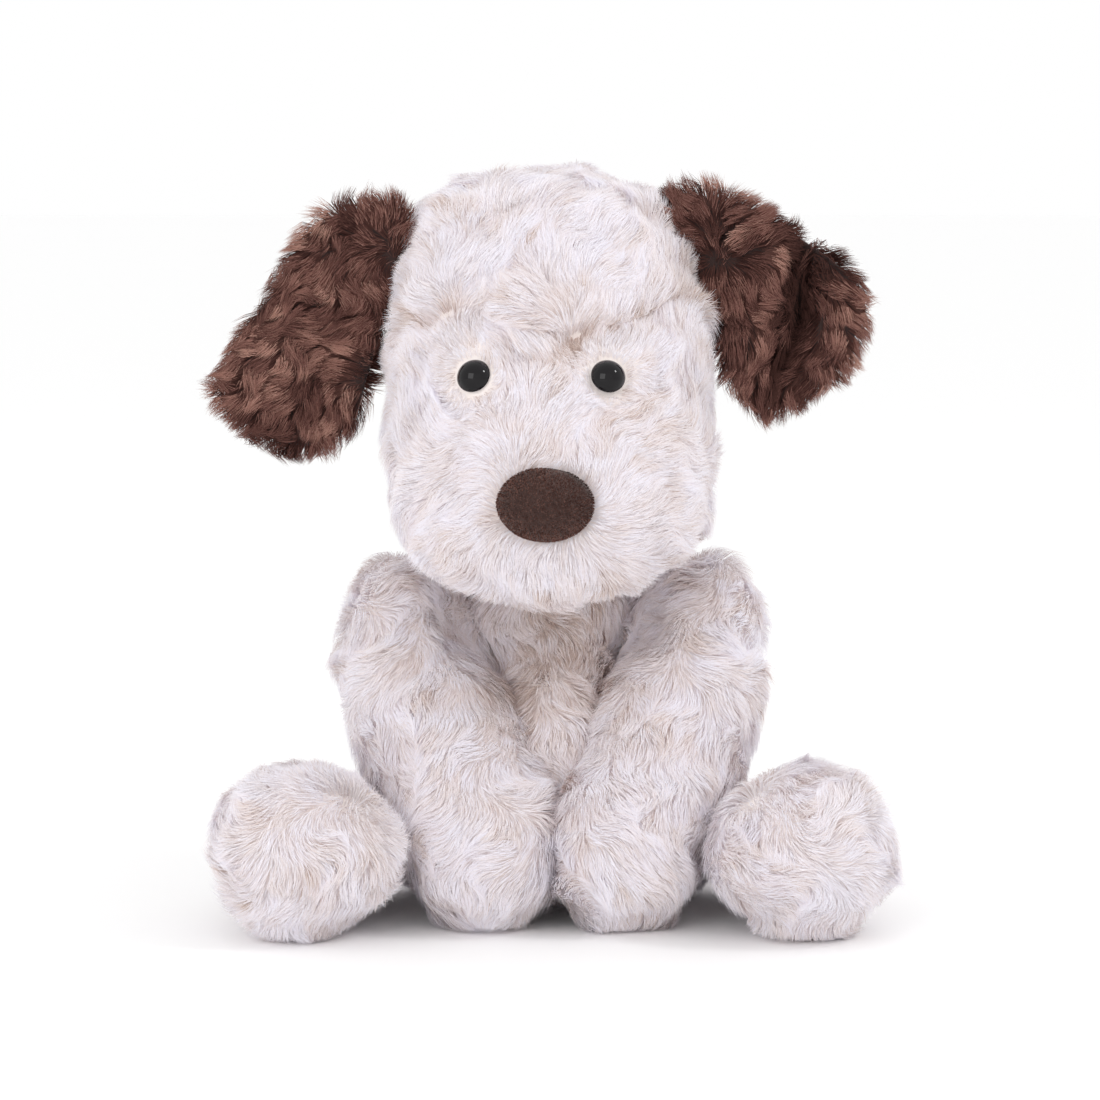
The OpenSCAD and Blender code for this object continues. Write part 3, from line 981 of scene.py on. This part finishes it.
def tube(a, b, radius, sides=8):
    """Rings of a short thread from a to b, raised in the middle and drawn in at the ends."""
    way = unit(b - a)
    first = unit(np.cross(way, [0.3, 0.5, 0.8]))
    second = np.cross(way, first)
    turn = np.linspace(0, 2 * math.pi, sides, endpoint=False)[:, None]
    circle = (first * np.cos(turn) + second * np.sin(turn)) * radius
    bow = BACK * radius * 0.8
    half_way = (a + b) / 2 + bow
    middles = [(a, 0.5), (a, 1), (half_way, 1), (b, 1), (b, 0.5)]
    return np.array([place + circle * share for place, share in middles])


def make_stitches(count=12, reach_out=2.2 * MM, radius=0.35 * MM):
    """A ladder of hand stitches across the back seam, laid on the torso's skin."""
    low, high = (np.array(c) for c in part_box("closing_stitches"))
    mesh = torso_skin.data
    tree = bvhtree.BVHTree.FromPolygons(
        [v.co for v in mesh.vertices], [p.vertices[:] for p in mesh.polygons]
    )
    parts = []
    for k, z in enumerate(np.linspace(low[2] + radius, high[2] - radius, count)):
        ends = []
        for x in (-reach_out, reach_out):
            lean = 0.25 * reach_out * (1 if k % 2 else -1) * np.sign(x)
            start = Vector((x, high[1] + 0.05, z + lean))
            hit = tree.ray_cast(start, Vector((0, -1, 0)))
            ends.append(np.array(hit[0]))
        parts.append(ring_mesh(f"stitch_{k}", tube(*ends, radius)))
    made = joined_meshes("closing_thread", [p.data for p in parts])
    for part in parts:
        bpy.data.objects.remove(part)
    shade_smooth(made)
    return made


closing_thread = make_stitches()
closing_thread.data.materials.append(
    mottled("thread", (0.62, 0.55, 0.50), (0.76, 0.70, 0.65), 900, 2600, 0.1 * MM, 0.7, 0.2)
)
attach(closing_thread, "torso")
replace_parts(closing_thread, "closing_stitches")

# ---------------------------------------------------------------- eyes and nose

eye_gloss = scuffed("eye_gloss", (0.004, 0.003, 0.004), (0.02, 0.04), 300)
eye_gloss.node_tree.nodes["Principled BSDF"].inputs["IOR"].default_value = 1.35
washer_plastic = scuffed("washer_plastic", (0.72, 0.72, 0.70), (0.35, 0.5), 400)
for side in ("left", "right"):
    for node, material in ((f"eye_{side}", eye_gloss), (f"eye_washer_{side}", washer_plastic)):
        obj = frame["nodes"][node]
        obj.data.materials.clear()
        obj.data.materials.append(material)

# Tones of the nose's nap, as for the pile: each root is darker than its tip, partly the nap's own
# tone, partly painted shade deep in the nap.
NOSE_TONES = [
    (0.4, (0.080, 0.038, 0.031), (0.210, 0.112, 0.092)),
    (0.35, (0.055, 0.026, 0.021), (0.125, 0.062, 0.051)),
    (0.25, (0.038, 0.018, 0.015), (0.066, 0.031, 0.026)),
]
nose_velour = mottled(
    "nose_velour", (0.045, 0.022, 0.018), (0.075, 0.038, 0.031), 420, 1900, 0.25 * MM, 0.9, 0.35
)


def make_nose():
    """A domed oval patch with a rolled edge, in the place of the CAD patch."""
    low, high = (np.array(c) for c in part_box("nose_patch"))
    centre, half = (low + high) / 2, (high - low) / 2
    turn = np.linspace(0, 2 * math.pi, 64, endpoint=False)
    rows = []
    for f in np.sin(np.linspace(0, math.pi / 2, 16))[1:]:
        rise = (1 - f**2.8) ** 0.55
        x, z = np.sin(turn) * f * half[0] * 0.96, np.cos(turn) * f * half[2]
        rows.append(centre + np.stack([x, turn * 0 + half[1] * (1 - 1.8 * rise), z], 1))
    under = rows[-1] + (centre - rows[-1]) * 0.12
    under[:, 1] = centre[1] + half[1] * 1.3
    rows.append(under)
    rings = np.array(rows)
    rings[..., 1] += waves(rings.reshape(-1, 3), 12 * MM, 7).reshape(rings.shape[:2]) * 0.25 * MM
    skin = ring_mesh("nose_skin", rings)
    shade_smooth(skin)
    return skin


def nose_flow(place, normal):
    """Brushed away from a point below the middle."""
    return place - NOSE + np.array([0.004, 0, -0.002])


def nose_dark(place, normal):
    """Darker tones gather on the velour's top, right of the middle."""
    brushed = NOSE + np.array([6, 0, 7]) * MM
    far = np.linalg.norm((place - brushed)[:, [0, 2]], axis=1)
    return 0.8 * np.exp(-((far / (9 * MM)) ** 2))


nose_skin = make_nose()
nose_skin.data.materials.append(nose_velour)
nose_nap = make_pile(
    "nose_nap", nose_skin, nose_flow, NOSE_TONES, pile_materials("nose_nap", NOSE_TONES), 7,
    dark=nose_dark, density=9, length=1.0, width=0.2, lift=(60, 40), clump=0.9, pull=0.5,
    swirl_length=14,
)
for obj in (nose_skin, nose_nap):
    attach(obj, "head")
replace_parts(nose_skin, "nose_patch")

nose_pad = add_object("nose_pad", nose_skin.data.copy())
nose_pad.data.materials.clear()
nose_pad.data.materials.append(fibre)
pad_middle = middle("nose_padding")
put_points(nose_pad.data, pad_middle + (points_of(nose_pad.data) - NOSE) * [0.88, 0.6, 0.88])
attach(nose_pad, "head")
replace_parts(nose_pad, "nose_padding")

# ---------------------------------------------------------------- stage


def add_floor(size=30.0):
    """A plain pale floor, wide enough to meet the horizon."""
    mesh = bpy.data.meshes.new("floor")
    corners = [(-size, -size, 0), (size, -size, 0), (size, size, 0), (-size, size, 0)]
    mesh.from_pydata(corners, [], [(0, 1, 2, 3)])
    floor = add_object("floor", mesh)
    floor.data.materials.append(principled("floor_white", (0.99, 0.99, 0.99), 0.9))


def add_area(name, place, target, size, power):
    data = bpy.data.lights.new(name, "AREA")
    data.size = size
    data.energy = power
    lamp = bpy.data.objects.new(name, data)
    lamp.location = place
    lamp.rotation_euler = (Vector(target) - Vector(place)).to_track_quat("-Z", "Y").to_euler()
    bpy.context.scene.collection.objects.link(lamp)


def add_camera(target, distance, elevation, lens, shift):
    """A camera that looks along +Y, elevation degrees above the horizon."""
    data = bpy.data.cameras.new("camera")
    data.lens = lens
    data.sensor_width = 36
    camera = bpy.data.objects.new("camera", data)
    tilt = math.radians(elevation)
    back = Vector((0, -math.cos(tilt), math.sin(tilt)))
    camera.location = Vector(target) + back * distance
    camera.rotation_euler = (-back).to_track_quat("-Z", "Y").to_euler()
    data.shift_x, data.shift_y = shift
    bpy.context.scene.collection.objects.link(camera)
    bpy.context.scene.camera = camera


add_floor()
DOG_MIDDLE = (0, 0, 0.130)
add_area("key", (-1.0, -1.8, 0.8), DOG_MIDDLE, 1.2, 10)
add_area("front", (0.1, -2.6, 0.25), DOG_MIDDLE, 3.0, 3)
add_area("glint", (1.02, -0.42, 1.07), EYES[1], 0.22, 3)
world = bpy.data.worlds.new("studio")
world.use_nodes = True
world.node_tree.nodes["Background"].inputs["Color"].default_value = (1, 1, 1, 1)
world.node_tree.nodes["Background"].inputs["Strength"].default_value = 1.0
bpy.context.scene.world = world
bpy.context.scene.view_settings.view_transform = "Standard"
add_camera(DOG_MIDDLE, distance=1.25, elevation=6, lens=111.9, shift=(-0.0036, -0.0036))
